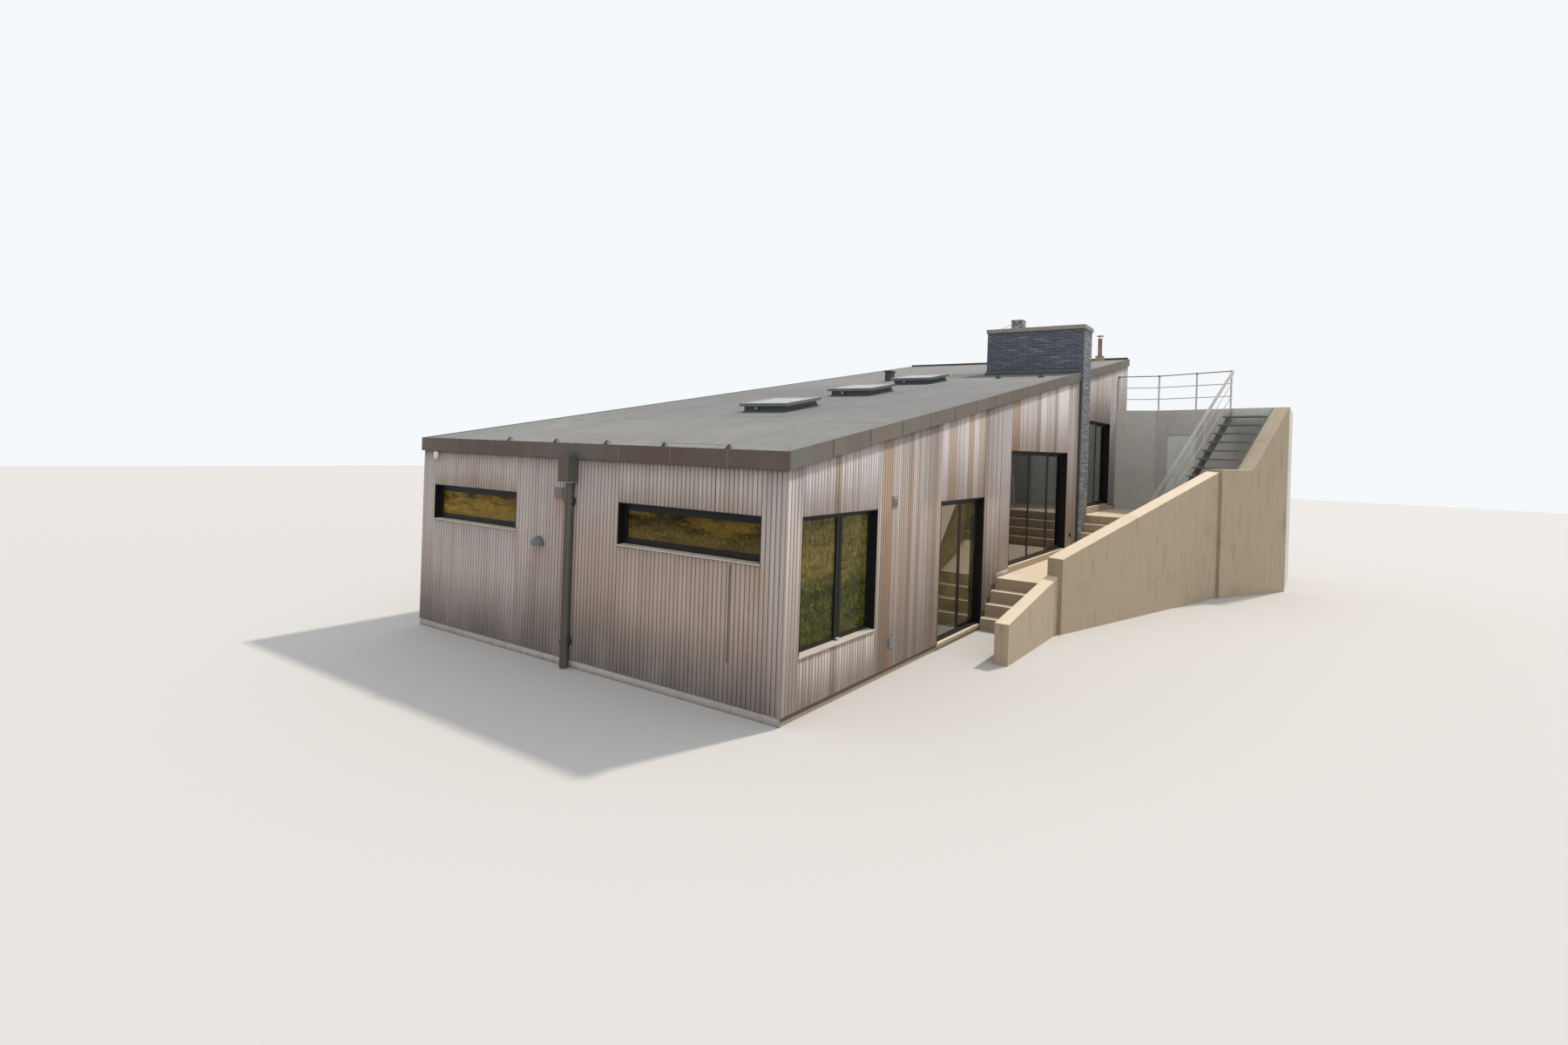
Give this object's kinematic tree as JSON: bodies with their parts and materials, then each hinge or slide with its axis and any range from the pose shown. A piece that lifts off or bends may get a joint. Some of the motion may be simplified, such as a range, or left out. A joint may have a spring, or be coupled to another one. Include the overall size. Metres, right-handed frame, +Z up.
{
  "type": "beach house",
  "caption": "Low timber clad beach house under one sloping felt roof, glazed sliding doors onto concrete side steps and terrace, store with steel stair to its roof deck.",
  "frame": {"origin": "centre of the house's footprint over its cladding, on the base plane, the underside of the foundation", "axes": "+Z up; the low front gable faces -Y and the roof rises towards +Y; the door side with steps and terrace faces +X"},
  "size_m": [10.8269, 17.326, 6.4321],
  "materials": {
    "timber": "weathered vertical boards",
    "concrete_sand": "sand-coloured cast concrete",
    "concrete_grey": "grey cast concrete and render",
    "floor_screed": "smooth screed",
    "roof_felt": "grey mineral felt",
    "edge_metal": "bronze brown sheet metal",
    "brick_dark": "dark slim bricks",
    "cap_concrete": "sandy concrete",
    "frame_black": "matt black",
    "glazing": "clear, dark behind",
    "rooflight_pane": "pale glazing",
    "zinc": "weathered grey metal",
    "sill_stone": "pale sills",
    "galvanised": "galvanised",
    "steel_dark": "grey steel",
    "rust_pipe": "rusty",
    "lamp_grey": "satin grey",
    "door_grey": "grey paint"
  },
  "bodies": {
    "house": {"foundation": "concrete_sand", "front_wall": "timber", "left_wall": "timber", "back_wall": "timber", "right_wall_front": "timber", "right_wall_piers": "timber", "door_lintels": "timber", "door_thresholds": "concrete_sand", "middle_floor": "floor_screed", "upper_floor": "floor_screed", "roof_slab": "roof_felt", "front_fascia": "edge_metal", "right_fascia": "edge_metal", "left_fascia": "edge_metal", "rear_fascia": "edge_metal", "chimney_stack": "brick_dark", "chimney_cap": "cap_concrete", "chimney_cowl": "zinc", "rooflight_frames": "zinc", "rooflight_glass": "rooflight_pane", "roof_vents": "zinc", "roof_flue": "rust_pipe", "front_window_frames": "frame_black", "side_window_frame": "frame_black", "rear_window_frames": "frame_black", "window_glass": "glazing", "window_sills": "sill_stone", "door_frames": "frame_black", "door_fixed_glass": "glazing", "downpipe": "zinc", "wall_lamp": "lamp_grey", "wall_vents": "zinc", "lower_steps": "concrete_sand", "middle_landing": "concrete_sand", "upper_steps": "concrete_sand", "upper_terrace": "concrete_sand", "low_dune_wall": "concrete_sand", "dune_wall": "concrete_sand", "stair_wall": "concrete_sand", "store_walls": "concrete_grey", "deck_slab": "concrete_grey", "deck_railing": "galvanised", "stair_stringers": "steel_dark", "stair_treads": "steel_dark", "stair_handrail": "galvanised"},
    "door_1": {"door_1_leaf": "frame_black", "door_1_leaf_glass": "glazing"},
    "door_2": {"door_2_leaf": "frame_black", "door_2_leaf_glass": "glazing"},
    "door_3": {"door_3_leaf": "frame_black", "door_3_leaf_glass": "glazing"},
    "store_door": {"store_door": "door_grey"}
  },
  "joints": [
    {"name": "door_1_slide", "type": "slide", "parent": "house", "child": "door_1", "axis": [0, -1, 0], "range_m": [0, 0.79]},
    {"name": "door_2_slide", "type": "slide", "parent": "house", "child": "door_2", "axis": [0, -1, 0], "range_m": [0, 1.2]},
    {"name": "door_3_slide", "type": "slide", "parent": "house", "child": "door_3", "axis": [0, -1, 0], "range_m": [0, 1.18]},
    {"name": "store_door_hinge", "type": "hinge", "parent": "house", "child": "store_door", "pos_m": [5.386, 6.7268, 2.5], "axis": [0, 0, 1], "range_deg": [0, 100]}
  ]
}
